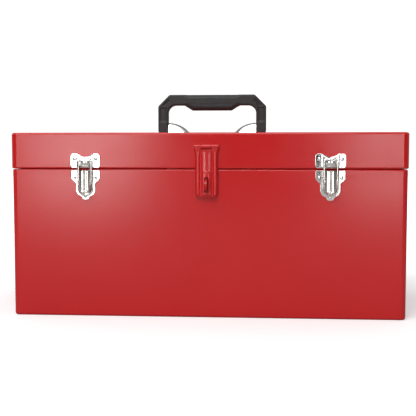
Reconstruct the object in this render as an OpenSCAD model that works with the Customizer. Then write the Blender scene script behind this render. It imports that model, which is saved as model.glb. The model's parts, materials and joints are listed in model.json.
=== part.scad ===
// A steel hand toolbox with a hinged lid, a folding handle, two draw latches,
// a padlock hasp and a lift-out tote tray.
// Origin: middle of the base, under the middle of the lid. +X to the right, -Y to the front, +Z up.

/* [Box] */
// Width of the lid, end to end
lid_w = 508; // [470:1:540]
// Depth of the lid, front to back
lid_d = 216; // [206:1:240]
// Height of the closed box, without its handle
box_h = 237.6; // [237.2:0.2:245]
// Height of the seam between the body and the lid
seam_z = 191.2; // [186:0.2:191.4]
// How far the lid stands out past the body, at the front and at both ends
lid_overhang = 1; // [0.8:0.1:1.2]
// Thickness of the sheet steel
sheet = 0.9; // [0.8:0.1:1]
// Outer radius of the body's vertical corners
corner_r = 7; // [6.5:0.5:10]
// Outer radius of the bends along the bottom and the top
bend_r = 3; // [2:0.5:4]
// Outer radius of the curled edges at the seam
curl_r = 2.2; // [2:0.1:2.4]

/* [Hinge] */
// Opening angle at which the lid's rear edge rests on the body's rear edge
lid_open = 105; // [95:1:108]
// Number of knuckles along the hinge, both leaves together
knuckles = 19; // [11:2:31]
// Length of the hinge
hinge_l = 480; // [400:10:490]

/* [Latches and hasp] */
// Distance of each latch from the middle of the box
latch_x = 156; // [100:1:200]
// Radius of the wire that the latch bails are bent from
bail_wire_r = 1.2; // [1:0.1:1.2]
// Radius of the padlock hole in the staple
padlock_r = 4.2; // [3:0.1:4.6]

/* [Handle] */
// Outer width of the handle
handle_w = 151; // [140:1:170]
// Height of the top of the handle above the lid
handle_h = 55; // [52:1:65]
// Thickness of the handle, front to back
handle_t = 15; // [13:0.5:15.5]

/* [Tray] */
// Height of the tray
tray_h = 38; // [34:1:40]
// Number of cross dividers in front of the long divider
cross_dividers = 2; // [1:1:3]

/* [Hidden] */
$fn = 48;

// Clearances
run = 0.05;      // radial, between a pin and the hole that turns on it
side_gap = 0.3;  // sideways, between parts that turn past each other
seam_gap = 0.3;  // from the seam's middle to each curled edge
stop_gap = 0.1;  // added at the hinge so that the edges just meet at lid_open

// Body and lid
body_w = lid_w - 2 * lid_overhang;
body_d = lid_d - lid_overhang;
body_y = lid_overhang / 2;
body_h = seam_z - seam_gap;
lid_corner_r = corner_r + lid_overhang;
lid_front = -lid_d / 2;
back = lid_d / 2;
curl_leg = 5;    // how far a curled edge turns down again inside

// Hinge: its axis lies inside the back faces, so that the edges make a stop
hinge_inset = 2;
hinge_y = back - hinge_inset;
rear_gap = hinge_inset * tan(lid_open / 2) + stop_gap;
hinge_pin_r = 1.4;
hinge_bore_r = hinge_pin_r + run;
barrel_r = hinge_bore_r + sheet;
leaf_h = 20;
leaf_y = hinge_inset - 2 * sheet;
knuckle_l = hinge_l / knuckles;
rear_y = back - 9; // the edges behind this line are cut back for the hinge

// Latch, measured from the lid's front face and the seam
plate_t = 1;
rivet_r = 1.5;
rivet_hole_r = rivet_r + run;
rivet_head_r = 2.4;
catch_rivets = [[-14, 12.7], [14, 12.7]];
base_rivets = [[-13.7, -11], [13.7, -11], [0, -35.4]];
lever_pivot = [-4.6, -5];
bail_pivot = [-4.2, -16];
bail_bar = [-2.4, 12.9];
bail_l = norm(bail_bar - bail_pivot);
bail_lean = atan2(bail_bar[0] - bail_pivot[0], bail_bar[1] - bail_pivot[1]);
bail_half = 8.3;
lever_half = 5.9;
lever_pin_r = 1.3;
ear_half = 4.7;
hood_r = 7.2;       // the hood on the catch fits inside the bail's bend
hood_z = 8.4;
hood_top = 10.6;

// Hasp, measured from the lid's front face and the seam
hasp_pivot = [-3, 28.4];
hasp_barrel_r = 2.9;
hasp_pin_r = 1.25;
hasp_half = 15.6;
hasp_bottom = -35.6;
hasp_t = 1.5;
hasp_inner_half = 6.8;
slot = [5.2, -30, -10.6];    // width, bottom and top
staple_t = 2.6;
staple_mid = [-12.5, -20.3];
staple_r = 7.25;
staple_rivets = [[0, -9.4], [0, -31.2]];
hasp_rivets = [[-7.5, 14], [7.5, 14]];

// Handle, measured from the lid's top
leg_w = 14;
handle_pivot = 8.2;
handle_pin_r = 2.5;
leg_inner = handle_w / 2 - leg_w;
bracket_end = leg_inner - side_gap;
bracket_l = 32;
bracket_h = 16;
bracket_w = 15;
bracket_t = 1.2;
flange_w = 36;
handle_rivet_y = 13;
handle_rivet_x = bracket_end - 14;
backing_t = 1.2;

// Tray
tray_sheet = 0.8;
tray_curl_r = 1.6;
tray_corner_r = 10;
tray_bend_r = 4;
tray_gap = 1.6;
tray_top = seam_z - 1.7;
tray_z = tray_top - tray_h;
tray_w = body_w - 4 * curl_r - 2 * tray_gap;
tray_front = lid_front + lid_overhang + 2 * curl_r + 1.2;
tray_back = hinge_y - barrel_r - 1.25;
tray_d = tray_back - tray_front;
tray_y = (tray_back + tray_front) / 2;
rest_l = 150;
rest_gap = 0.1;
rest_w = 16;
rest_leg = 14;
divider_top = tray_top - 7.5;
divider_y = 10;
divider_foot = 8;
lug_x = 52;
lug_t = 2;
lug_half = 7;
lug_face = divider_y - tray_sheet / 2 - lug_t;
lug_rivet_z = divider_top - 12;
rod_r = 2.5;
rod_x = 60;
rod_reach = 38;
rod_y = lug_face - 6;
rod_z = tray_top - 2.3;
rod_bend = 6;
sleeve_r = 4.5;
sleeve_l = 84;

// ---------- shapes that repeat ----------

// A rounded rectangle about the origin
module round_rect(w, d, r) {
    square([w - 2 * r, d], center = true);
    square([w, d - 2 * r], center = true);
    for (sx = [-1, 1], sy = [-1, 1])
        translate([sx * (w / 2 - r), sy * (d / 2 - r)]) circle(r);
}

// Part of a ring of sheet, from 0 to 90 or 180 degrees
module ring_part(r, t, turn) {
    intersection() {
        difference() {
            circle(r);
            circle(r - t);
        }
        translate([turn == 90 ? 0 : -r, 0]) square([turn == 90 ? r : 2 * r, r]);
    }
}

// Cross-section of a wall: it bends in at the bottom and curls over inwards at the top.
// Its outer face is at x = r, and x is measured from the middle of the corner.
module wall_section(r, h, bend, curl, t) {
    translate([r - t, bend]) square([t, h - bend - curl]);
    translate([r - bend, bend]) mirror([0, 1]) ring_part(bend, t, 90);
    translate([r - curl, h - curl]) ring_part(curl, t, 180);
    translate([r - 2 * curl, h - curl - curl_leg]) square([t, curl_leg]);
}

// Carries a cross-section round a rectangle with rounded corners
module sweep_round(w, d, r) {
    for (side = [0 : 3]) {
        across = side % 2 == 0;
        half = (across ? w : d) / 2 - r;
        length = (across ? d : w) - 2 * r;
        rotate([0, 0, 90 * side]) translate([half, 0, 0]) {
            rotate([90, 0, 0]) linear_extrude(length, center = true) children();
            translate([0, length / 2, 0]) rotate_extrude(angle = 90) children();
        }
    }
}

// A pan: swept walls and a flat floor
module pan(w, d, h, r, bend, curl, t) {
    sweep_round(w, d, r) wall_section(r, h, bend, curl, t);
    linear_extrude(t) round_rect(w - 2 * bend, d - 2 * bend, r - bend);
}

// What is cut from a pan's top edge behind rear_y, to leave a plain wall for the hinge leaf
module rear_relief(w, d, r, h, y0, edge) {
    translate([-w, y0, edge]) cube([2 * w, d, h]);
    intersection() {
        translate([-w, y0, h - curl_r - curl_leg - 1]) cube([2 * w, d, h]);
        linear_extrude(2 * h) round_rect(w - 2 * sheet, d - 2 * sheet, r - sheet);
    }
}

// Stands a drawing up: its front is at y = 0 and it is thick towards +Y
module upright(thick) {
    translate([0, thick, 0]) rotate([90, 0, 0]) linear_extrude(thick) children();
}

// Draws a Y-Z outline and makes it long in X
module along_x(length) {
    rotate([90, 0, 90]) linear_extrude(length, center = true) children();
}

// A round bar along X at [y, z]
module bar_x(at, r, length) {
    translate([-length / 2, at[0], at[1]]) rotate([0, 90, 0]) cylinder(r = r, h = length);
}

// Holes through a front plate, at [x, z] points
module holes_y(points, r) {
    for (p = points) translate([p[0], -10, p[1]]) rotate([-90, 0, 0]) cylinder(r = r, h = 20);
}

// A set rivet along +Z: its domed head stands below z = 0 and its tail beyond the grip
module rivet(grip, r, head_r) {
    dome_h = head_r * 0.45;
    ball_r = (head_r * head_r + dome_h * dome_h) / (2 * dome_h);
    intersection() {
        translate([0, 0, ball_r - dome_h]) sphere(ball_r);
        translate([0, 0, -dome_h]) cylinder(r = head_r, h = dome_h);
    }
    cylinder(r = r, h = grip);
    translate([0, 0, grip]) cylinder(r = head_r * 0.85, h = 0.9);
}

module front_rivets(points, face, grip) {
    for (p = points)
        translate([p[0], face, p[1]]) rotate([-90, 0, 0]) rivet(grip, rivet_r, rivet_head_r);
}

// Moves what is drawn from the lid's front face and the seam to its place on the box
module at_front(x = 0) {
    translate([x, lid_front, seam_z]) children();
}

module both_latches() {
    for (side = [-1, 1]) at_front(side * latch_x) children();
}

// ---------- body ----------

module body_shell() {
    color("firebrick") difference() {
        translate([0, body_y, 0]) pan(body_w, body_d, body_h, corner_r, bend_r, curl_r, sheet);
        translate([0, body_y, 0])
            rear_relief(body_w, body_d, corner_r, body_h, rear_y - body_y, seam_z - rear_gap);
        both_latches() holes_y(base_rivets, rivet_hole_r);
        at_front() holes_y(staple_rivets, rivet_hole_r);
    }
}

module tray_rest(side) {
    wall = side * (body_w / 2 - sheet);
    top = tray_z - rest_gap;
    color("firebrick") {
        translate([wall - (side > 0 ? sheet : 0), -rest_l / 2, top - rest_leg])
            cube([sheet, rest_l, rest_leg]);
        translate([side > 0 ? wall - rest_w : wall, -rest_l / 2, top - sheet]) cube([rest_w, rest_l, sheet]);
    }
}

module hinge_leaf(side) {
    color("firebrick") translate([0, hinge_y, seam_z]) difference() {
        mirror([0, 0, side > 0 ? 0 : 1]) {
            translate([-hinge_l / 2, leaf_y, rear_gap]) cube([hinge_l, sheet, leaf_h - rear_gap]);
            for (i = [(side > 0 ? 1 : 0) : 2 : knuckles - 1])
                translate([(i + 0.5) * knuckle_l - hinge_l / 2, 0, 0]) {
                    width = knuckle_l - side_gap;
                    bar_x([0, 0], barrel_r, width);
                    translate([-width / 2, leaf_y, hinge_bore_r]) cube([width, sheet, rear_gap]);
                }
        }
        bar_x([0, 0], hinge_bore_r, hinge_l + 2);
    }
}

module hinge_pin() {
    color("silver") translate([0, hinge_y, seam_z]) bar_x([0, 0], hinge_pin_r, hinge_l);
}

// ---------- draw latches ----------

module latch_base_outline() {
    translate([-18.7, -11]) square([37.4, 9.3]);
    translate([-13.7, -16]) square([27.4, 5]);
    for (side = [-1, 1]) translate([side * 13.7, -11]) circle(5);
    translate([-12.6, -29]) square([25.2, 14]);
    polygon([[-12.6, -29], [12.6, -29], [11.6, -32], [4.4, -38], [-4.4, -38], [-11.6, -32]]);
    translate([0, -34.7]) circle(5);
}

module latch_base(x) {
    color("silver") at_front(x) difference() {
        union() {
            upright(plate_t) latch_base_outline();
            for (side = [-1, 1]) translate([side * (ear_half - 0.5), 0, 0]) along_x(1) {
                translate([lever_pivot[0], lever_pivot[1] - 2.3]) square([-lever_pivot[0], 4.6]);
                translate(lever_pivot) circle(2.3);
            }
        }
        holes_y(base_rivets, rivet_hole_r);
        bar_x(lever_pivot, lever_pin_r + run, 20);
    }
}

module latch_pin(x) {
    color("silver") at_front(x) bar_x(lever_pivot, lever_pin_r, 2 * lever_half + 1);
}

module latch_base_rivets() {
    color("silver") both_latches() front_rivets(base_rivets, 0, plate_t + sheet);
}

module latch_catch_outline() {
    difference() {
        union() {
            translate([-20, 3.3]) square([40, 10.4]);
            translate([-18, 1.3]) square([36, 2]);
            for (side = [-1, 1]) {
                translate([side * 18, 3.3]) circle(2);
                translate([side * 14, 13.7]) circle(6);
            }
            translate([-14, 13.7]) square([28, 6]);
        }
        translate([0, 33.5]) circle(18.2);
    }
}

// The scoop on the catch that the bail's bar sits on
module catch_hood(r) {
    translate([0, 2, hood_z]) {
        cylinder(r = r, h = 3);
        sphere(r);
    }
}

module latch_catch(x) {
    color("silver") at_front(x) difference() {
        union() {
            translate([0, -plate_t, 0]) upright(plate_t) latch_catch_outline();
            intersection() {
                difference() {
                    catch_hood(hood_r);
                    catch_hood(hood_r - plate_t);
                }
                translate([-10, -10, 0]) cube([20, 10 - plate_t, hood_top]);
            }
        }
        holes_y(catch_rivets, rivet_hole_r);
    }
}

module latch_catch_rivets() {
    color("silver") both_latches() front_rivets(catch_rivets, -plate_t, plate_t + sheet);
}

module lever_outline() {
    translate([-lever_half, -25.1]) square([2 * lever_half, 22.5]);
    translate([0, -25.1]) circle(lever_half);
}

module latch_lever(x) {
    cheek = [[-7.2, -2.6], [-1.9, -2.6], [-1.9, -18.6], [-5.2, -25.1], [-7.2, -25.1]];
    color("silver") at_front(x) difference() {
        union() {
            translate([0, -8.2, 0]) upright(plate_t) lever_outline();
            for (side = [-1, 1]) translate([side * (lever_half - 0.5), 0, 0]) along_x(1) polygon(cheek);
        }
        translate([-1.3, -9, -27]) cube([2.6, 1.3, 30]);
        bar_x(lever_pivot, lever_pin_r + run, 20);
        bar_x(bail_pivot, bail_wire_r + run, 20);
    }
}

// Half of the bail, drawn upwards from its pivot
module bail_half_wire() {
    top_bend = 4.5;
    foot_bend = 2;
    translate([bail_half, 0, foot_bend]) cylinder(r = bail_wire_r, h = bail_l - top_bend - foot_bend);
    translate([bail_half - top_bend, 0, bail_l - top_bend]) rotate([90, 0, 0])
        rotate_extrude(angle = 90) translate([top_bend, 0]) circle(bail_wire_r);
    translate([0, 0, bail_l]) rotate([0, 90, 0]) cylinder(r = bail_wire_r, h = bail_half - top_bend);
    translate([bail_half - foot_bend, 0, foot_bend]) rotate([90, 0, 0])
        rotate_extrude(angle = -90) translate([foot_bend, 0]) circle(bail_wire_r);
    translate([ear_half + 0.1, 0, 0]) rotate([0, 90, 0])
        cylinder(r = bail_wire_r, h = bail_half - foot_bend - ear_half - 0.1);
}

module latch_bail(x) {
    color("silver") at_front(x) translate([0, bail_pivot[0], bail_pivot[1]]) rotate([-bail_lean, 0, 0]) {
        bail_half_wire();
        mirror([1, 0, 0]) bail_half_wire();
    }
}

// ---------- padlock hasp ----------

module hasp_staple() {
    color("firebrick") at_front() difference() {
        union() {
            translate([0, -0.5, 0]) upright(1.5) translate([0, -20.3]) round_rect(19, 29, 3);
            along_x(staple_t) {
                translate([staple_mid[0], staple_mid[1] - staple_r]) square([-staple_mid[0], 2 * staple_r]);
                translate(staple_mid) circle(staple_r);
            }
        }
        bar_x(staple_mid, padlock_r, 20);
        holes_y(staple_rivets, rivet_hole_r);
    }
}

module hasp_staple_rivets() {
    color("silver") at_front() front_rivets(staple_rivets, -0.5, 1.5 + sheet);
}

module hasp_hinge_plate() {
    color("firebrick") at_front() difference() {
        union() {
            translate([0, -1.2, 0]) upright(1.2) translate([-12, 8]) square([24, 17]);
            translate([0, -1.2, 0]) upright(1.2)
                translate([-hasp_inner_half, 24]) square([2 * hasp_inner_half, 4.4]);
            bar_x(hasp_pivot, hasp_barrel_r, 2 * hasp_inner_half);
        }
        bar_x(hasp_pivot, hasp_pin_r + run, 40);
        holes_y(hasp_rivets, rivet_hole_r);
    }
}

module hasp_hinge_rivets() {
    color("silver") at_front() front_rivets(hasp_rivets, -1.2, 1.2 + sheet);
}

module hasp_pin() {
    color("silver") at_front() bar_x(hasp_pivot, hasp_pin_r, 2 * hasp_half);
}

// Cross-section of the pressed leaf, seen from above; y is measured from the lid's front face
module hasp_section() {
    polygon([
        [-16, -2], [-13.6, -2], [-10.6, -5.2], [10.6, -5.2], [13.6, -2], [16, -2],
        [16, -0.5], [12.9, -0.5], [9.9, -3.7], [-9.9, -3.7], [-12.9, -0.5], [-16, -0.5]
    ]);
}

module hasp_leaf() {
    knuckle = hasp_half - hasp_inner_half - 0.2;
    color("firebrick") at_front() difference() {
        union() {
            translate([0, 0, hasp_bottom]) linear_extrude(24.6 - hasp_bottom) hasp_section();
            translate([0, -6.3, 0]) upright(1.2) translate([0, -16.6]) round_rect(10, 29, 4.9);
            for (side = [-1, 1]) translate([side * (hasp_half - knuckle / 2), 0, 0]) {
                bar_x(hasp_pivot, hasp_barrel_r, knuckle);
                along_x(knuckle) translate([-5.2, 24]) square([hasp_t, 4.4]);
            }
        }
        translate([-slot[0] / 2, -10, slot[1]]) cube([slot[0], 20, slot[2] - slot[1]]);
        bar_x(hasp_pivot, hasp_pin_r + run, 40);
    }
}

// ---------- lid ----------

module lid_shell() {
    h = box_h - seam_z - seam_gap;
    color("firebrick") difference() {
        translate([0, 0, box_h]) mirror([0, 0, 1]) difference() {
            pan(lid_w, lid_d, h, lid_corner_r, bend_r, curl_r, sheet);
            rear_relief(lid_w, lid_d, lid_corner_r, h, rear_y, box_h - seam_z - rear_gap);
        }
        both_latches() holes_y(catch_rivets, rivet_hole_r);
        at_front() holes_y(hasp_rivets, rivet_hole_r);
        handle_rivet_places() translate([0, 0, -5]) cylinder(r = rivet_hole_r, h = 10);
    }
}

// ---------- carrying handle ----------

module handle_rivet_places() {
    for (sx = [-1, 1], sy = [-1, 1])
        translate([sx * handle_rivet_x, sy * handle_rivet_y, box_h]) children();
}

// Side view of the bracket's pod: an arc that falls from the leg to the lid
module pod_outline(l, h) {
    arc_r = (l * l + h * h) / (2 * h);
    intersection() {
        translate([bracket_end, h - arc_r]) circle(arc_r, $fn = 96);
        translate([bracket_end - l, 0]) square([l, h]);
    }
}

module handle_bracket(side) {
    color("silver") translate([0, 0, box_h]) mirror([side > 0 ? 0 : 1, 0, 0]) difference() {
        union() {
            translate([bracket_end - 24, -flange_w / 2, 0]) cube([18, flange_w, bracket_t]);
            translate([0, -bracket_w / 2, 0]) upright(bracket_w) pod_outline(bracket_l, bracket_h);
        }
        translate([-bracket_t, -bracket_w / 2 + bracket_t, -0.01])
            upright(bracket_w - 2 * bracket_t) pod_outline(bracket_l - 3, bracket_h - bracket_t);
        for (sy = [-1, 1])
            translate([handle_rivet_x, sy * handle_rivet_y, -1]) cylinder(r = rivet_hole_r, h = 5);
        translate([leg_inner, 0, 0]) bar_x([0, handle_pivot], handle_pin_r + run, 20);
    }
}

module handle_pin(side) {
    color("silver") translate([0, 0, box_h + handle_pivot]) mirror([side > 0 ? 0 : 1, 0, 0]) {
        inside = bracket_end - bracket_t;
        translate([inside - 2, 0, 0]) rotate([0, 90, 0]) cylinder(r = handle_pin_r, h = leg_w);
        translate([inside - 2.1, 0, 0]) rotate([0, 90, 0]) cylinder(r = handle_pin_r + 1.5, h = 2);
    }
}

module handle_rivets() {
    color("silver") handle_rivet_places() translate([0, 0, bracket_t])
        rotate([180, 0, 0]) rivet(bracket_t + sheet + backing_t, rivet_r, rivet_head_r);
}

module handle_backing(side) {
    color("silver") translate([side * handle_rivet_x, 0, box_h - sheet - backing_t]) difference() {
        linear_extrude(backing_t) round_rect(16, flange_w, 3);
        for (sy = [-1, 1]) translate([0, sy * handle_rivet_y, -1]) cylinder(r = rivet_hole_r, h = 5);
    }
}

// The open space inside the handle, seen from the front
module handle_opening() {
    inner_r = 13;
    top = handle_h - 14.6;
    grip = handle_h - 21.8;
    grip_half = 27.4;  // half the flat underside of the thick middle
    ramp_end = 39;     // where its sloping ends meet the thinner part
    translate([-leg_inner, -20]) square([2 * leg_inner, top - inner_r + 20]);
    translate([-leg_inner + inner_r, 0]) square([2 * (leg_inner - inner_r), grip]);
    for (side = [-1, 1]) {
        translate([side * (leg_inner - inner_r), top - inner_r]) circle(inner_r);
        mirror([side > 0 ? 0 : 1, 0]) polygon([
            [grip_half, grip], [ramp_end, top], [leg_inner - inner_r, top],
            [leg_inner - inner_r, 10], [grip_half, 10]
        ]);
    }
}

module handle_grip() {
    chamfer = 16;
    half = handle_w / 2;
    color("dimgray") translate([0, 0, box_h]) difference() {
        union() {
            translate([0, -handle_t / 2, 0]) upright(handle_t) difference() {
                polygon([
                    [-half, handle_pivot], [-half, handle_h - chamfer], [chamfer - half, handle_h],
                    [half - chamfer, handle_h], [half, handle_h - chamfer], [half, handle_pivot]
                ]);
                handle_opening();
            }
            for (side = [-1, 1])
                translate([side * (half - leg_w / 2), 0, 0]) bar_x([0, handle_pivot], handle_t / 2, leg_w);
        }
        for (side = [-1, 1]) translate([side * (leg_inner + 5.6), 0, 0])
            bar_x([0, handle_pivot], handle_pin_r + run, 12);
    }
}

// ---------- tray ----------

module tray_pan() {
    color("firebrick") translate([0, tray_y, tray_z])
        pan(tray_w, tray_d, tray_h, tray_corner_r, tray_bend_r, tray_curl_r, tray_sheet);
}

// A divider along X, with a rolled top edge and a foot
module divider(length) {
    foot_z = tray_z + tray_sheet;
    bead = 1.2;
    wall_h = divider_top - bead - foot_z;
    translate([-length / 2, -tray_sheet / 2, foot_z]) cube([length, tray_sheet, wall_h]);
    translate([-length / 2, 0, foot_z]) cube([length, divider_foot, tray_sheet]);
    bar_x([bead - tray_sheet / 2, divider_top - bead], bead, length);
}

module tray_long_divider() {
    color("firebrick") translate([0, divider_y, 0]) difference() {
        divider(tray_w - 2 * tray_bend_r);
        for (side = [-1, 1]) translate([side * lug_x, 0, lug_rivet_z]) holes_y([[0, 0]], rivet_hole_r);
    }
}

function cross_x(i) = (i - (cross_dividers - 1) / 2) * (tray_w / (cross_dividers + 1));

module tray_cross_dividers() {
    front_inside = tray_front + tray_bend_r;
    length = divider_y - tray_sheet / 2 - side_gap - front_inside;
    color("firebrick") for (i = [0 : cross_dividers - 1])
        translate([cross_x(i), front_inside + length / 2, 0]) rotate([0, 0, 90]) divider(length);
}

module tray_lug(side) {
    eye_r = 4.4;
    stop_t = eye_r - rod_r - rest_gap;
    color("silver") mirror([side > 0 ? 0 : 1, 0, 0]) translate([lug_x, 0, 0]) difference() {
        union() {
            translate([-lug_half, lug_face, divider_top - 18]) cube([2 * lug_half, lug_t, 21]);
            along_x(lug_t) {
                translate([rod_y, rod_z - eye_r]) square([lug_face + lug_t - rod_y, 6]);
                translate([rod_y, rod_z]) circle(eye_r);
                translate([rod_y - 14, rod_z - eye_r]) square([14, stop_t]);
            }
            translate([0, rod_y - 14, rod_z - eye_r]) cube([rod_x - lug_x + rod_r, 7, stop_t]);
        }
        bar_x([rod_y, rod_z], rod_r + run, 20);
        translate([0, 0, lug_rivet_z]) holes_y([[0, 0]], rivet_hole_r);
    }
}

module tray_lug_rivets() {
    color("silver") for (side = [-1, 1])
        translate([side * lug_x, 0, lug_rivet_z]) front_rivets([[0, 0]], lug_face, lug_t + tray_sheet);
}

// Half of the tray's folding handle, lying flat towards the front
module rod_half() {
    end_x = lug_x - lug_t;
    translate([end_x, 0, 0]) rotate([0, 90, 0]) cylinder(r = rod_r, h = rod_x - rod_bend - end_x);
    translate([rod_x - rod_bend, -rod_bend, 0])
        rotate_extrude(angle = 90) translate([rod_bend, 0]) circle(rod_r);
    translate([rod_x, -rod_bend, 0]) rotate([90, 0, 0]) cylinder(r = rod_r, h = rod_reach - 2 * rod_bend);
    translate([rod_x - rod_bend, rod_bend - rod_reach, 0])
        rotate_extrude(angle = -90) translate([rod_bend, 0]) circle(rod_r);
    translate([0, -rod_reach, 0]) rotate([0, 90, 0]) cylinder(r = rod_r, h = rod_x - rod_bend);
}

module tray_handle_rod() {
    color("silver") translate([0, rod_y, rod_z]) {
        rod_half();
        mirror([1, 0, 0]) rod_half();
    }
}

module tray_handle_sleeve() {
    color("dimgray") translate([0, rod_y - rod_reach, rod_z]) difference() {
        bar_x([0, 0], sleeve_r, sleeve_l);
        bar_x([0, 0], rod_r + 0.02, sleeve_l + 2);
    }
}

body_shell();
tray_rest(-1);  // tray_rest_left
tray_rest(1);  // tray_rest_right
hinge_leaf(-1);  // hinge_leaf_body
hinge_pin();
latch_base(-latch_x);  // latch_base_left
latch_base(latch_x);  // latch_base_right
latch_pin(-latch_x);  // latch_pin_left
latch_pin(latch_x);  // latch_pin_right
latch_base_rivets();
hasp_staple();
hasp_staple_rivets();
lid_shell();
hinge_leaf(1);  // hinge_leaf_lid
latch_catch(-latch_x);  // latch_catch_left
latch_catch(latch_x);  // latch_catch_right
latch_catch_rivets();
hasp_hinge_plate();
hasp_hinge_rivets();
hasp_pin();
handle_bracket(-1);  // handle_bracket_left
handle_bracket(1);  // handle_bracket_right
handle_pin(-1);  // handle_pin_left
handle_pin(1);  // handle_pin_right
handle_rivets();
handle_backing(-1);  // handle_backing_left
handle_backing(1);  // handle_backing_right
latch_lever(-latch_x);  // latch_lever_left
latch_lever(latch_x);  // latch_lever_right
latch_bail(-latch_x);  // latch_bail_left
latch_bail(latch_x);  // latch_bail_right
hasp_leaf();
handle_grip();
tray_pan();
tray_long_divider();
tray_cross_dividers();
tray_lug(-1);  // tray_lug_left
tray_lug(1);  // tray_lug_right
tray_lug_rivets();
tray_handle_rod();
tray_handle_sleeve();
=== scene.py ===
import json
import math

import bmesh
import bpy
import numpy as np
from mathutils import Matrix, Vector
from mathutils.geometry import delaunay_2d_cdt

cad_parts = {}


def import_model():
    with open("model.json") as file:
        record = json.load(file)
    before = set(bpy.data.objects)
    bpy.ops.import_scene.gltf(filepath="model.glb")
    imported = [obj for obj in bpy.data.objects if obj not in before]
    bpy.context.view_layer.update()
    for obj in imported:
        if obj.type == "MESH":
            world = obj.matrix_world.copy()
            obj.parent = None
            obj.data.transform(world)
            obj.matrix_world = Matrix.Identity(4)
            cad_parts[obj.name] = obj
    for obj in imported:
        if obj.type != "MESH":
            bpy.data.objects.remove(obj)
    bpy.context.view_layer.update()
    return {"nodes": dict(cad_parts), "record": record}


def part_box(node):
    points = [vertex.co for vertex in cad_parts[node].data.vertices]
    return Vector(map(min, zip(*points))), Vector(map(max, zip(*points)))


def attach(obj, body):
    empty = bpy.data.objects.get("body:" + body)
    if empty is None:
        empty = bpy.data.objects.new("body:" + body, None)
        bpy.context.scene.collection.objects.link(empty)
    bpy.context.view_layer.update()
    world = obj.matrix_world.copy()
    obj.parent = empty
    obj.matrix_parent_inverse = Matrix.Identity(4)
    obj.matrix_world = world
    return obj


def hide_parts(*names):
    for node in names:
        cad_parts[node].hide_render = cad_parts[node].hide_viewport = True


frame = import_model()
nodes = frame["nodes"]
MM = 0.001

# Reference planes, taken from the CAD solids (mm)
lid_lo, lid_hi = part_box("lid_shell")
LID_TOP = lid_hi.z / MM
LID_FRONT = lid_lo.y / MM
SEAM = (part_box("body_shell")[1].z / MM + lid_lo.z / MM) / 2

SHARP_ANGLE = math.radians(50)
BEVEL_ANGLE = math.radians(32)
WELD_DISTANCE = 0.00001
RIVET_HOLE_R = 1.5
LEVER_SHEET = 0.8
FINE_STEP = 0.5
ROW_HEIGHT = 0.866  # of an even grid of triangles, as a share of its step


# ---------------------------------------------------------------- materials
RED_LIGHT = (0.580, 0.0105, 0.0115)
RED_DEEP = (0.545, 0.0080, 0.0095)


def new_material(name):
    mat = bpy.data.materials.new(name)
    mat.use_nodes = True
    tree = mat.node_tree
    shader = tree.nodes["Principled BSDF"]
    coords = tree.nodes.new("ShaderNodeTexCoord")
    return mat, tree, shader, coords.outputs["Object"]


def noise(tree, where, scale, detail=2.0, rough=0.5, stretch=None):
    if stretch is not None:
        mapping = tree.nodes.new("ShaderNodeMapping")
        mapping.inputs["Scale"].default_value = stretch
        tree.links.new(where, mapping.inputs["Vector"])
        where = mapping.outputs["Vector"]
    tex = tree.nodes.new("ShaderNodeTexNoise")
    tex.inputs["Scale"].default_value = scale
    tex.inputs["Detail"].default_value = detail
    tex.inputs["Roughness"].default_value = rough
    tree.links.new(where, tex.inputs["Vector"])
    return tex.outputs["Fac"]


def spread(tree, value, low, high, src=(0.3, 0.7)):
    node = tree.nodes.new("ShaderNodeMapRange")
    node.inputs["From Min"].default_value = src[0]
    node.inputs["From Max"].default_value = src[1]
    node.inputs["To Min"].default_value = low
    node.inputs["To Max"].default_value = high
    tree.links.new(value, node.inputs["Value"])
    return node.outputs["Result"]


def two_colours(tree, value, first, second, src=(0.3, 0.7)):
    ramp = tree.nodes.new("ShaderNodeValToRGB")
    ramp.color_ramp.elements[0].position = src[0]
    ramp.color_ramp.elements[0].color = (*first, 1)
    ramp.color_ramp.elements[1].position = src[1]
    ramp.color_ramp.elements[1].color = (*second, 1)
    tree.links.new(value, ramp.inputs["Fac"])
    return ramp.outputs["Color"]


def bump(tree, value, strength, distance, under=None):
    node = tree.nodes.new("ShaderNodeBump")
    node.inputs["Strength"].default_value = strength
    node.inputs["Distance"].default_value = distance
    tree.links.new(value, node.inputs["Height"])
    if under is not None:
        tree.links.new(under, node.inputs["Normal"])
    return node.outputs["Normal"]


def red_powder_coat():
    mat, tree, shader, where = new_material("red_powder_coat")
    cloud = noise(tree, where, 6.0, 3.0)
    colour = two_colours(tree, cloud, RED_DEEP, RED_LIGHT)
    tree.links.new(colour, shader.inputs["Base Color"])
    rough = spread(tree, noise(tree, where, 45.0, 4.0), 0.18, 0.22)
    tree.links.new(rough, shader.inputs["Roughness"])
    peel = bump(tree, noise(tree, where, 420.0, 2.0), 0.06, 0.0004)
    grain = bump(tree, noise(tree, where, 2200.0, 1.0), 0.02, 0.0002, peel)
    tree.links.new(grain, shader.inputs["Normal"])
    shader.inputs["Specular IOR Level"].default_value = 0.5
    return mat


def nickel_plate():
    mat, tree, shader, where = new_material("nickel_plate")
    cloud = noise(tree, where, 120.0, 3.0)
    colour = two_colours(tree, cloud, (0.80, 0.79, 0.76), (0.90, 0.89, 0.86))
    tree.links.new(colour, shader.inputs["Base Color"])
    shader.inputs["Metallic"].default_value = 1.0
    rough = spread(tree, noise(tree, where, 260.0, 5.0, 0.6), 0.07, 0.15)
    tree.links.new(rough, shader.inputs["Roughness"])
    draw = bump(tree, noise(tree, where, 300.0, 3.0, 0.5, (1.0, 1.0, 0.12)), 0.03, 0.0003)
    ripple = bump(tree, noise(tree, where, 110.0, 1.0), 0.03, 0.0005, draw)
    tree.links.new(ripple, shader.inputs["Normal"])
    return mat


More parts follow.
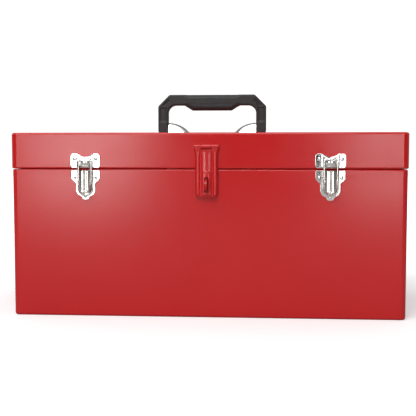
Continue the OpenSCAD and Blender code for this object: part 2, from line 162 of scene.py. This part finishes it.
def zinc_plate():
    mat, tree, shader, where = new_material("zinc_plate")
    cloud = noise(tree, where, 90.0, 4.0)
    colour = two_colours(tree, cloud, (0.56, 0.57, 0.59), (0.70, 0.71, 0.73))
    tree.links.new(colour, shader.inputs["Base Color"])
    shader.inputs["Metallic"].default_value = 1.0
    rough = spread(tree, noise(tree, where, 320.0, 5.0, 0.6), 0.24, 0.40)
    tree.links.new(rough, shader.inputs["Roughness"])
    grain = bump(tree, noise(tree, where, 700.0, 2.0), 0.08, 0.0003)
    tree.links.new(grain, shader.inputs["Normal"])
    return mat


def black_plastic():
    mat, tree, shader, where = new_material("black_plastic")
    cloud = noise(tree, where, 40.0, 3.0)
    colour = two_colours(tree, cloud, (0.021, 0.021, 0.022), (0.025, 0.0245, 0.025))
    tree.links.new(colour, shader.inputs["Base Color"])
    rough = spread(tree, noise(tree, where, 500.0, 3.0), 0.42, 0.56)
    tree.links.new(rough, shader.inputs["Roughness"])
    cells = tree.nodes.new("ShaderNodeTexVoronoi")
    cells.inputs["Scale"].default_value = 1500.0
    tree.links.new(where, cells.inputs["Vector"])
    leather = bump(tree, cells.outputs["Distance"], 0.22, 0.0003)
    grain = bump(tree, noise(tree, where, 5000.0, 1.0), 0.1, 0.0001, leather)
    tree.links.new(grain, shader.inputs["Normal"])
    shader.inputs["Specular IOR Level"].default_value = 0.4
    return mat


MATERIALS = {
    "red_powder_coat": red_powder_coat(),
    "nickel_plate": nickel_plate(),
    "zinc_plate": zinc_plate(),
    "black_plastic": black_plastic(),
}


# ---------------------------------------------------------------- CAD nodes
NO_BEVEL = ("body_shell", "lid_shell", "tray_pan")
FINE_BEVEL = 0.12
WIDER_BEVEL = {
    "handle_backing_left": 0.2,
    "handle_backing_right": 0.2,
    "hasp_hinge_plate": 0.3,
    "hasp_staple": 0.45,
    "tray_handle_sleeve": 0.6,
    "tray_lug_left": 0.3,
    "tray_lug_right": 0.3,
    "tray_long_divider": 0.15,
    "tray_cross_dividers": 0.15,
    "tray_rest_left": 0.15,
    "tray_rest_right": 0.15,
}

for part in frame["record"]["subparts"]:
    obj = nodes[part["node"]]
    obj.data.materials.clear()
    obj.data.materials.append(MATERIALS[part["material_slot"]])
    for poly in obj.data.polygons:
        poly.material_index = 0
        poly.use_smooth = True
    weld = obj.modifiers.new("weld", "WELD")
    weld.merge_threshold = WELD_DISTANCE
    if part["node"] not in NO_BEVEL:
        edge = obj.modifiers.new("edges", "BEVEL")
        edge.width = WIDER_BEVEL.get(part["node"], FINE_BEVEL) * MM
        edge.segments = 2
        edge.limit_method = "ANGLE"
        edge.angle_limit = BEVEL_ANGLE
    shade = obj.modifiers.new("normals", "WEIGHTED_NORMAL")
    shade.keep_sharp = True


# ---------------------------------------------------------------- drawing pressed and moulded pieces
def arc(cx, cy, r, a0, a1, n):
    steps = [math.radians(a0 + (a1 - a0) * i / n) for i in range(n + 1)]
    return [(cx + r * math.cos(a), cy + r * math.sin(a)) for a in steps]


def rounded(points, radii, n):
    """A polygon with each corner rounded to its radius."""
    out = []
    count = len(points)
    for i, p in enumerate(points):
        a = Vector(points[i - 1]) - Vector(p)
        b = Vector(points[(i + 1) % count]) - Vector(p)
        la, lb = a.length, b.length
        a, b = a / la, b / lb
        half = math.acos(max(-1, min(1, a.dot(b)))) / 2
        r = radii[i]
        if r <= 0 or half > math.pi / 2 - 0.02:
            out.append(tuple(p))
            continue
        run = min(r / math.tan(half), la * 0.49, lb * 0.49)
        r = run * math.tan(half)
        centre = Vector(p) + (a + b).normalized() * (r / math.sin(half))
        start = Vector(p) + a * run - centre
        end = Vector(p) + b * run - centre
        a0 = math.atan2(start.y, start.x)
        turn = math.atan2(start.x * end.y - start.y * end.x, start.dot(end))
        angles = [a0 + turn * k / n for k in range(n + 1)]
        out += [(centre.x + r * math.cos(a), centre.y + r * math.sin(a)) for a in angles]
    return out


def resample(loop, step):
    """The loop cut into even lengths of about one step."""
    out = []
    for i, p in enumerate(loop):
        q = loop[(i + 1) % len(loop)]
        length = math.dist(p, q)
        if length < 1e-6:
            continue
        count = max(1, int(round(length / step)))
        dx, dy = q[0] - p[0], q[1] - p[1]
        out += [(p[0] + dx * k / count, p[1] + dy * k / count) for k in range(count)]
    clean = []
    for p in out:
        if not clean or math.dist(p, clean[-1]) > step * 0.2:
            clean.append(p)
    return clean


def edge_distance(points, loops):
    """Each point's distance to the nearest edge, and whether it lies in the sheet and not in a hole."""
    best = np.full(len(points), 1e9)
    inside = np.zeros(len(points), bool)
    for loop in loops:
        a = np.array(loop, float)
        b = np.roll(a, -1, axis=0)
        for p, q in zip(a, b):
            d = q - p
            t = np.clip(((points - p) @ d) / max(d @ d, 1e-12), 0, 1)
            best = np.minimum(best, np.linalg.norm(points - (p + t[:, None] * d), axis=1))
            cross = (p[1] > points[:, 1]) != (q[1] > points[:, 1])
            with np.errstate(divide="ignore", invalid="ignore"):
                x = p[0] + (points[:, 1] - p[1]) * (q[0] - p[0]) / (q[1] - p[1])
            inside ^= cross & (points[:, 0] < x)
    return best, inside


def sheet_points(loops, step, rings):
    """Loops, rings of points just inside them, and an even grid, cut into triangles."""
    loops = [resample(loop, step) for loop in loops]
    verts = []
    edges = []
    for loop in loops:
        first = len(verts)
        verts += loop
        edges += [(first + i, first + (i + 1) % len(loop)) for i in range(len(loop))]
    extra = []
    for loop in loops:
        a = np.array(loop, float)
        tangent = np.roll(a, -1, axis=0) - np.roll(a, 1, axis=0)
        tangent /= np.maximum(np.linalg.norm(tangent, axis=1), 1e-9)[:, None]
        normal = np.stack([-tangent[:, 1], tangent[:, 0]], axis=1)
        for r in rings:
            for sign in (1, -1):
                cand = a + normal * r * sign
                dist, inside = edge_distance(cand, loops)
                extra += [tuple(c) for c, d, ok in zip(cand, dist, inside) if ok and d > r * 0.93]
    lo = np.array(verts).min(0)
    hi = np.array(verts).max(0)
    rows = []
    for j in range(int((hi[1] - lo[1]) / (step * ROW_HEIGHT)) + 2):
        for i in range(int((hi[0] - lo[0]) / step) + 2):
            rows.append((lo[0] + (i + 0.5 * (j % 2)) * step, lo[1] + j * step * ROW_HEIGHT))
    grid = np.array(rows)
    dist, inside = edge_distance(grid, loops)
    grid = grid[inside & (dist > max(rings) + step * 0.55)]
    taken = set()
    kept = []
    for p in extra:
        key = (round(p[0] / (step * 0.3)), round(p[1] / (step * 0.3)))
        if key not in taken:
            taken.add(key)
            kept.append(p)
    all_points = [Vector(p) for p in verts + kept + [tuple(p) for p in grid]]
    out = delaunay_2d_cdt(all_points, edges, [], 1, 1e-5)
    points = np.array([tuple(v) for v in out[0]])
    faces = [tuple(f) for f in out[2]]
    centres = np.array([points[list(f)].mean(0) for f in faces])
    _, inside = edge_distance(centres, loops)
    faces = [f for f, ok in zip(faces, inside) if ok]
    return points, faces, loops


def finish_mesh(name, bm, slot, body, replaced):
    """Turns bm into a piece that rides on the body and stands in for the CAD node it replaces."""
    bmesh.ops.delete(bm, geom=[v for v in bm.verts if not v.link_faces], context="VERTS")
    bmesh.ops.remove_doubles(bm, verts=bm.verts, dist=1e-7)
    bmesh.ops.recalc_face_normals(bm, faces=bm.faces)
    mesh = bpy.data.meshes.new(name)
    bm.to_mesh(mesh)
    bm.free()
    for poly in mesh.polygons:
        poly.use_smooth = True
    mesh.set_sharp_from_angle(angle=SHARP_ANGLE)
    mesh.materials.append(MATERIALS[slot])
    obj = bpy.data.objects.new(name, mesh)
    bpy.context.scene.collection.objects.link(obj)
    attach(obj, body)
    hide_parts(*replaced)


def edge_counts(faces):
    """How many faces share each edge. An edge of the sheet's rim has one."""
    count = {}
    for f in faces:
        for i in range(len(f)):
            key = tuple(sorted((f[i], f[(i + 1) % len(f)])))
            count[key] = count.get(key, 0) + 1
    return count


def pressed(bm, loops, front, back, step, place, rings=(0.15, 0.4)):
    """Adds one closed plate. front and back give its depth in -Y at x, z and distance from its edge."""
    points, faces, loops = sheet_points(loops, step, rings)
    dist, _ = edge_distance(points, loops)
    h_front = front(points[:, 0], points[:, 1], dist)
    h_back = back(points[:, 0], points[:, 1], dist)
    lower = [bm.verts.new(place((x, -h, z))) for (x, z), h in zip(points, h_front)]
    upper = [bm.verts.new(place((x, -h, z))) for (x, z), h in zip(points, h_back)]
    count = edge_counts(faces)
    for f in faces:
        bm.faces.new([lower[i] for i in f])
        bm.faces.new([upper[i] for i in reversed(f)])
    for f in faces:
        for i in range(len(f)):
            a, b = f[i], f[(i + 1) % len(f)]
            if count[(min(a, b), max(a, b))] == 1:
                bm.faces.new([lower[b], lower[a], upper[a], upper[b]])


def step_up(value, low, high):
    """0 below low, 1 above high, with a smooth rise between."""
    t = np.clip((value - low) / (high - low), 0, 1)
    return t * t * (3 - 2 * t)


def round_edge(dist, r):
    """The drop from a flat face to an edge rounded to r, at a distance from that edge."""
    d = np.clip(dist, 0, r)
    return r - np.sqrt(np.maximum(r * r - (r - d) ** 2, 0))


def worn_edge(dist, r, drop):
    """A rounded edge that falls by drop rather than by its full radius."""
    return drop * round_edge(dist, r) / r


def circle(cx, cy, r, n=28):
    angles = [2 * math.pi * k / n for k in range(n)]
    return [(cx + r * math.cos(a), cy + r * math.sin(a)) for a in angles]


def centre_x(node):
    low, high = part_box(node)
    return (low.x + high.x) / 2 / MM


def at_front(cx):
    """Places x, y, z in mm, measured from x = cx, the lid's front face and the seam."""
    return lambda p: Vector(((cx + p[0]) * MM, (LID_FRONT + p[1]) * MM, (SEAM + p[2]) * MM))


# ---------------------------------------------------------------- draw latches
def latch_catch(side):
    """A plate on the lid with a hood in its middle, which the bail's bar rests over."""
    place = at_front(centre_x(f"latch_catch_{side}"))
    outline = rounded(
        [(-17.6, 1.3), (17.6, 1.3), (19.4, 4.4), (19.4, 19.7), (10.4, 19.7), (0, 13.8),
         (-10.4, 19.7), (-19.4, 19.7), (-19.4, 4.4)],
        [1.5, 1.5, 3, 6.2, 5, 16, 5, 6.2, 3], 10,
    )
    holes = [circle(x, 12.7, RIVET_HOLE_R) for x in (-14, 14)]
    plate = 1.0
    hood_half, hood_z, hood_r, hood_top = 6.4, 8.4, 6.6, 10.7

    def hood(x, z):
        across = np.clip(np.abs(x) / hood_half, 0, 1)
        below = np.sqrt(np.maximum(0, 1 - ((hood_z - z) / hood_r) ** 2))
        rise = np.where(z > hood_z, 1.0, below)
        body = np.sqrt(np.maximum(0, 1 - across ** 2.6)) * rise
        return body * step_up(hood_top - z, 0, 0.7)

    def front(x, z, d):
        swell = 0.4 * step_up(d, 0.8, 1.6) * step_up(10.4 - np.abs(x), -1.0, 0.6)
        return plate - worn_edge(d, 0.5, 0.45) + swell + 4.3 * hood(x, z)

    def back(x, z, d):
        return 0.05 + 3.3 * hood(x * 1.12, z)

    bm = bmesh.new()
    pressed(bm, [outline] + holes, front, back, FINE_STEP, place)
    finish_mesh(f"pressed_catch_{side}", bm, "nickel_plate", "lid", [f"latch_catch_{side}"])


def latch_base(side):
    """A plate on the box with a raised rim round the lever and a well under it."""
    place = at_front(centre_x(f"latch_base_{side}"))
    right = [(18.7, -1.7), (18.7, -12.9), (15.2, -16.4), (12.7, -18.2), (12.7, -28.6),
             (10.4, -33.4), (5.6, -35.6), (3.4, -39.7)]
    radii = [1.5, 4.2, 2.2, 2.2, 4.5, 4, 3.2, 3.2]
    left = [(-x, z) for x, z in right]
    outline = rounded(left + right[::-1], radii + radii[::-1], 8)
    holes = [circle(x, z, RIVET_HOLE_R) for x, z in ((-13.7, -11), (13.7, -11), (0, -35.4))]
    tip_z = -24.4
    rim_r = 9.5
    plate = 1.0

    def front(x, z, d):
        rim = np.hypot(x, np.minimum(z - tip_z, 0))
        below_seam = step_up(-z, 1.6, 3.0)
        ridge = np.exp(-((rim - rim_r) / 0.6) ** 2) * below_seam
        well = step_up(rim_r - 0.3 - rim, 0, 0.9) * below_seam
        return 0.7 * ridge - 0.6 * well - worn_edge(d, 0.5, 0.4)

    def back(x, z, d):
        return np.full_like(x, -plate)

    bm = bmesh.new()
    pressed(bm, [outline] + holes, front, back, FINE_STEP, place)
    # The two ears that carry the lever's pin
    ear = [(0.3, -7.3)] + arc(4.6, -5, 2.3, -90, 90, 12) + [(0.3, -2.7)]
    for sign in (-1, 1):
        ring0 = [bm.verts.new(place((sign * 3.75, -y, z))) for y, z in ear]
        ring1 = [bm.verts.new(place((sign * 4.7, -y, z))) for y, z in ear]
        bm.faces.new(ring0)
        bm.faces.new(ring1[::-1])
        for i in range(len(ear)):
            j = (i + 1) % len(ear)
            bm.faces.new([ring0[j], ring0[i], ring1[i], ring1[j]])
    finish_mesh(f"pressed_base_{side}", bm, "nickel_plate", "box", [f"latch_base_{side}"])


def latch_lever(side):
    """A channel with two rounded lobes and a groove between them, bent from one sheet."""
    place = at_front(centre_x(f"latch_lever_{side}"))
    half = 6.4
    end_z, tip_z = -2.6, -25.1
    side_top, side_foot, tip_foot = 7.3, 1.9, 5.6
    side_rows = 3
    outline = [(-half, end_z)] + arc(0, tip_z, half, 180, 360, 26) + [(half, end_z)]
    points, faces, loops = sheet_points([outline], FINE_STEP, (0.12, 0.35, 0.7, 1.1))
    dist, _ = edge_distance(points, loops)
    x, z = points[:, 0], points[:, 1]
    from_side = np.where(z > end_z - 1.0, np.minimum(half - np.abs(x), 3), dist)
    groove_ends = step_up(z, -29.3, -26.2) * step_up(-z, 3.0, 4.2)
    groove = 2.1 * np.exp(-(np.abs(x) / 0.7) ** 2) * groove_ends
    lobe = 0.9 * np.clip((np.abs(x) - 2.2) / 3.7, -1, 1) ** 2
    h = 8.2 - worn_edge(from_side, 1.3, 0.9) - groove - lobe
    bm = bmesh.new()
    top = [bm.verts.new(place((px, -depth, pz))) for px, pz, depth in zip(x, z, h)]
    for f in faces:
        bm.faces.new([top[i] for i in f])
    # The sides turn back towards the plate, less deep at the lever's tip
    rows = {}
    for (a, b), n in edge_counts(faces).items():
        if n != 1 or min(z[a], z[b]) > end_z - 0.1:
            continue
        for i in (a, b):
            if i in rows:
                continue
            foot = side_foot + (tip_foot - side_foot) * step_up(-z[i], 16.5, 25.0)
            depths = [side_top + (foot - side_top) * k / side_rows for k in range(1, side_rows + 1)]
            rows[i] = [bm.verts.new(place((x[i], -depth, z[i]))) for depth in depths]
        chain_a = [top[a]] + rows[a]
        chain_b = [top[b]] + rows[b]
        for k in range(side_rows):
            bm.faces.new([chain_a[k], chain_b[k], chain_b[k + 1], chain_a[k + 1]])
    bmesh.ops.recalc_face_normals(bm, faces=bm.faces)
    mesh = bpy.data.meshes.new("lever")
    bm.to_mesh(mesh)
    bm.free()
    temp = bpy.data.objects.new("lever", mesh)
    bpy.context.scene.collection.objects.link(temp)
    solid = temp.modifiers.new("solid", "SOLIDIFY")
    solid.thickness = LEVER_SHEET * MM
    solid.offset = 0
    solid.use_even_offset = False
    bpy.context.view_layer.update()
    done = bpy.data.meshes.new_from_object(temp.evaluated_get(bpy.context.evaluated_depsgraph_get()))
    bpy.data.objects.remove(temp)
    bm = bmesh.new()
    bm.from_mesh(done)
    finish_mesh(f"pressed_lever_{side}", bm, "nickel_plate", f"{side}_lever", [f"latch_lever_{side}"])


for which in ("left", "right"):
    latch_catch(which)
    latch_base(which)
    latch_lever(which)


# ---------------------------------------------------------------- hasp
def hasp_leaf():
    """A slotted leaf with two ribs, curled round its pin at the top."""
    pin_y, pin_z, barrel = 3.0, 28.4, 2.9
    outline = rounded(
        [(-14.3, -35.6), (14.3, -35.6), (14.7, 19.0), (15.7, 25.0), (15.7, 31.2), (7.0, 31.2),
         (7.0, 24.6), (-7.0, 24.6), (-7.0, 31.2), (-15.7, 31.2), (-15.7, 25.0), (-14.7, 19.0)],
        [3.6, 3.6, 4, 4, 0.3, 0.3, 0.5, 0.5, 0.3, 0.3, 4, 4], 10,
    )
    slot = rounded([(-2.6, -30), (2.6, -30), (2.6, -10.6), (-2.6, -10.6)], [2.2] * 4, 8)

    def shape(x, z):
        edge = 14.3 + 0.4 * (z + 35.6) / 54.6 + step_up(z, 19, 25)
        top = step_up(z, 18.5, 24.0)
        foot = step_up(z + 35.2, 0, 3.0)
        side = step_up(edge - 0.3 - np.abs(x), 0, 1.5)
        channel = 1.9 * side
        rib = 1.7 * np.sqrt(np.maximum(0, 1 - ((np.abs(x) - 10.9) / 2.6) ** 2)) * foot
        bow = 1.5 * np.clip(1 - (np.abs(x) / 7.6) ** 2, 0, 1) ** 0.8 * foot
        boss_r = np.hypot(x, np.where(z > -7.6, z + 7.6, np.minimum(z + 26.2, 0)))
        boss = 0.75 * step_up(5.2 - boss_r, 0, 1.0)
        relief = channel + np.maximum(rib, bow) + boss
        return relief * (1 - top) + 3.0 * side * top

    def front(x, z, d):
        leaf = 2.0 + shape(x, z) + 0.7 * step_up(z, 20.0, 27.0)
        curl = pin_y + np.sqrt(np.maximum(barrel ** 2 - (z - pin_z) ** 2, 0.01))
        return np.where(z > pin_z, curl, leaf) - worn_edge(d, 0.4, 0.3)

    def back(x, z, d):
        leaf = np.minimum(0.7 + shape(x, z), 4.5)
        curl = pin_y - np.sqrt(np.maximum(barrel ** 2 - (z - pin_z) ** 2, 0.01))
        low = step_up(z, 25.2, 27.0)
        return np.where(z > pin_z, curl, leaf * (1 - low) + 0.1 * low)

    bm = bmesh.new()
    pressed(bm, [outline, slot], front, back, 0.62, at_front(0))
    finish_mesh("pressed_hasp_leaf", bm, "red_powder_coat", "hasp", ["hasp_leaf"])


hasp_leaf()


# ---------------------------------------------------------------- handle brackets
def handle_bracket(side):
    """A pressed pod beside the leg of the handle, on a riveted foot."""
    low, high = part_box(f"handle_bracket_{side}")
    sign = 1 if side == "right" else -1
    outer = max(abs(low.x), abs(high.x)) / MM
    length = (high.x - low.x) / MM
    tall = (high.z - low.z) / MM
    foot_half = (high.y - low.y) / 2 / MM
    half_wide = 7.5
    crown_r = (length ** 2 + tall ** 2) / (2 * tall)
    tip_run = 11
    thin = 0.01

    def at_lid(p):
        return Vector((sign * p[0] * MM, p[1] * MM, LID_TOP * MM + p[2] * MM))

    bm = bmesh.new()
    columns = 40
    rows = 44
    grid = []
    for i in range(columns + 1):
        x = outer - length * (1 - i / columns) ** 1.6
        h = max(tall - crown_r + math.sqrt(max(crown_r ** 2 - (outer - x) ** 2, 0)), 2 * thin)
        fade = min(1, (x - (outer - length)) / tip_run)
        half = max(half_wide * math.sqrt(1 - (1 - fade) ** 2), 0.15)
        ring = []
        for j in range(rows + 1):
            c = math.cos(math.pi * j / rows)
            z = max(h * (1 - abs(c) ** 1.6), thin)
            ring.append(bm.verts.new(at_lid((x, half * c, z))))
        grid.append(ring)
    for a, b in zip(grid, grid[1:]):
        for j in range(rows):
            bm.faces.new([a[j], a[j + 1], b[j + 1], b[j]])
    bm.faces.new(grid[0])
    # The end beside the handle's leg is turned in and closed
    lip = []
    for v in grid[-1]:
        p = v.co / MM
        q = Vector((p.x, p.y * 0.86, LID_TOP + (p.z - LID_TOP) * 0.92))
        lip.append(bm.verts.new(q * MM))
    for j in range(rows):
        bm.faces.new([grid[-1][j], grid[-1][j + 1], lip[j + 1], lip[j]])
    bm.faces.new(lip[::-1])
    bm.faces.new([ring[0] for ring in grid] + [lip[0], lip[-1]] + [ring[-1] for ring in grid[::-1]])
    foot_in, foot_out, rivet_x = outer - 24, outer - 6, outer - 14
    foot = rounded(
        [(foot_in, -foot_half), (foot_out, -foot_half), (foot_out, foot_half), (foot_in, foot_half)],
        [4] * 4, 8,
    )
    holes = [circle(rivet_x, y, RIVET_HOLE_R) for y in (-13, 13)]
    pressed(
        bm, [foot] + holes,
        lambda x, z, d: 1.2 - worn_edge(d, 0.5, 0.4),
        lambda x, z, d: np.zeros_like(x),
        0.9, lambda p: at_lid((p[0], p[2], -p[1])),
    )
    finish_mesh(f"pressed_bracket_{side}", bm, "nickel_plate", "lid", [f"handle_bracket_{side}"])


for which in ("left", "right"):
    handle_bracket(which)


# ---------------------------------------------------------------- carrying handle
def carrying_handle():
    """A moulded bow with a swelling grip, recessed legs and a crease across each corner."""
    low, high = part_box("handle_grip")
    half = (high.x - low.x) / 2 / MM
    top = high.z / MM - LID_TOP
    bottom = low.z / MM - LID_TOP
    thick = (high.y - low.y) / MM
    leg = 14.0
    inner = half - leg
    chamfer = 16.0
    bar = top - 14.6
    grip = top - 21.8
    grip_half = 27.4
    ramp_end = 39.0
    right = [(half, bottom), (half, top - chamfer), (half - chamfer, top)]
    right_inside = [(grip_half, grip), (ramp_end, bar), (inner, bar), (inner, bottom)]
    outline = rounded(
        right + [(-x, z) for x, z in right[::-1] + right_inside[::-1]] + right_inside,
        [5, 5, 5, 5, 5, 5, 3, 13, 5, 4, 4, 5, 13, 3], 12,
    )

    def depth(x, z, d):
        ax = np.abs(x)
        grip_zone = step_up(41 - ax, 0, 8)
        leg_zone = step_up(ax - (inner + 0.6), 0, 1.2)
        edge_r = 2.2 + 3.6 * grip_zone
        base = thick / 2 - round_edge(d, edge_r) * (0.85 + 0.15 * grip_zone)
        panel_x = step_up(ax - (inner + 2.6), 0, 0.7) * step_up(half - 2.8 - ax, 0, 0.7)
        panel_z = step_up(z - (bottom + 17.2), 0, 0.8) * step_up(top - 17.5 - z, 0, 0.9)
        across = ((half - ax) + (top - z)) / math.sqrt(2)
        along = ((half - ax) - (top - z)) / math.sqrt(2)
        crease = np.exp(-((across - 16.2) / 1.7) ** 2) * step_up(7.5 - np.abs(along), 0, 3.0)
        hub = step_up(bottom + 16.6 - z, 0, 0.8) * leg_zone
        crown = 0.28 * step_up(z - (grip + 1.0), 0, 10) * grip_zone
        seam = 0.35 * np.exp(-((z - (bar + 1.2)) / 0.4) ** 2) * step_up(38 - ax, 0, 1.5)
        leg_recess = (0.9 * panel_x * panel_z + 0.35 * leg_zone) * (1 - hub)
        return base - 0.4 - leg_recess - 1.2 * crease + crown - seam

    def behind(x, z, d):
        return -depth(x, z, d)

    def at_lid(p):
        return Vector((p[0] * MM, p[1] * MM, (LID_TOP + p[2]) * MM))

    bm = bmesh.new()
    pressed(bm, [outline], depth, behind, 0.9, at_lid, (0.12, 0.4, 0.9, 1.6, 2.6))
    finish_mesh("moulded_handle", bm, "black_plastic", "handle", ["handle_grip"])


carrying_handle()


# ---------------------------------------------------------------- floor, light, camera
def floor():
    """A pale sheet with a painted glow, seen only by the camera, that grows away from the box and turns
    it white, so that no horizon shows.
    """
    half = 6.0
    corners = [(-half, -half, 0), (half, -half, 0), (half, half, 0), (-half, half, 0)]
    mesh = bpy.data.meshes.new("floor")
    mesh.from_pydata(corners, [], [(0, 1, 2, 3)])
    mat, tree, shader, where = new_material("floor_paper")
    path = tree.nodes.new("ShaderNodeLightPath")
    in_view = path.outputs["Is Camera Ray"]
    paper = two_colours(tree, in_view, (0.42, 0.42, 0.42), (0.86, 0.86, 0.86), (0, 1))
    tree.links.new(paper, shader.inputs["Base Color"])
    shader.inputs["Roughness"].default_value = 0.9
    shader.inputs["Specular IOR Level"].default_value = 0.1
    away = tree.nodes.new("ShaderNodeVectorMath")
    away.operation = "LENGTH"
    tree.links.new(where, away.inputs[0])
    # Painted glow: emission seen only by the camera, weak near the box and full white far from it
    glow = spread(tree, away.outputs["Value"], 0.26, 1.05, (0.30, 1.05))
    seen = tree.nodes.new("ShaderNodeMath")
    seen.operation = "MULTIPLY"
    tree.links.new(glow, seen.inputs[0])
    tree.links.new(in_view, seen.inputs[1])
    shader.inputs["Emission Color"].default_value = (1, 1, 1, 1)
    tree.links.new(seen.outputs["Value"], shader.inputs["Emission Strength"])
    mesh.materials.append(mat)
    obj = bpy.data.objects.new("floor", mesh)
    bpy.context.scene.collection.objects.link(obj)


def area(name, place, target, size, power):
    """A soft light that the camera doesn't see."""
    data = bpy.data.lights.new(name, "AREA")
    data.shape = "RECTANGLE"
    data.size, data.size_y = size
    data.energy = power
    obj = bpy.data.objects.new(name, data)
    bpy.context.scene.collection.objects.link(obj)
    obj.location = place
    obj.rotation_euler = (Vector(target) - Vector(place)).to_track_quat("-Z", "Y").to_euler()
    obj.visible_camera = False


def world():
    """White to the camera, and to the object a room that is bright above and behind it."""
    studio = bpy.data.worlds.new("studio")
    bpy.context.scene.world = studio
    studio.use_nodes = True
    tree = studio.node_tree
    out = tree.nodes["World Output"]
    dim = tree.nodes["Background"]
    coords = tree.nodes.new("ShaderNodeTexCoord")
    split = tree.nodes.new("ShaderNodeSeparateXYZ")
    tree.links.new(coords.outputs["Generated"], split.inputs["Vector"])
    ramp = tree.nodes.new("ShaderNodeValToRGB")
    ramp.color_ramp.elements[0].position = 0.32
    ramp.color_ramp.elements[0].color = (0.02, 0.02, 0.02, 1)
    ramp.color_ramp.elements[1].position = 0.72
    ramp.color_ramp.elements[1].color = (0.62, 0.62, 0.62, 1)
    lift = tree.nodes.new("ShaderNodeMath")
    lift.operation = "MULTIPLY_ADD"
    lift.inputs[1].default_value = 0.9
    tree.links.new(split.outputs["Z"], lift.inputs[0])
    tree.links.new(split.outputs["Y"], lift.inputs[2])
    half = tree.nodes.new("ShaderNodeMath")
    half.operation = "MULTIPLY_ADD"
    half.inputs[1].default_value = 0.5
    half.inputs[2].default_value = 0.5
    tree.links.new(lift.outputs[0], half.inputs[0])
    tree.links.new(half.outputs[0], ramp.inputs["Fac"])
    tree.links.new(ramp.outputs["Color"], dim.inputs["Color"])
    dim.inputs["Strength"].default_value = 1.0
    white = tree.nodes.new("ShaderNodeBackground")
    white.inputs["Color"].default_value = (1, 1, 1, 1)
    white.inputs["Strength"].default_value = 1.05
    path = tree.nodes.new("ShaderNodeLightPath")
    mix = tree.nodes.new("ShaderNodeMixShader")
    tree.links.new(path.outputs["Is Camera Ray"], mix.inputs["Fac"])
    tree.links.new(dim.outputs["Background"], mix.inputs[1])
    tree.links.new(white.outputs["Background"], mix.inputs[2])
    tree.links.new(mix.outputs["Shader"], out.inputs["Surface"])


def camera():
    """The view of the photograph: slightly from the right of the middle and from above."""
    data = bpy.data.cameras.new("camera")
    data.sensor_width = 36.0
    data.lens = 66.26
    data.clip_start = 0.01
    data.clip_end = 60
    obj = bpy.data.objects.new("camera", data)
    bpy.context.scene.collection.objects.link(obj)
    yaw = math.radians(-4.08)
    pitch = math.radians(4.08)
    look = Vector((math.sin(yaw) * math.cos(pitch), math.cos(yaw) * math.cos(pitch), -math.sin(pitch)))
    obj.location = (0.071, -1.078, 0.211)
    obj.rotation_euler = look.to_track_quat("-Z", "Y").to_euler()
    bpy.context.scene.camera = obj


floor()
world()
camera()
area("softbox_left", (-0.735, -2.5, 0.30), (0, 0, 0.14), (0.50, 1.4), 14)
area("softbox_right", (0.62, -2.5, 0.42), (0, 0, 0.14), (0.38, 1.1), 6.6)
area("key_light", (-0.40, -1.30, 1.70), (0, 0, 0.12), (1.6, 1.1), 27)
bpy.context.scene.view_settings.view_transform = "Standard"
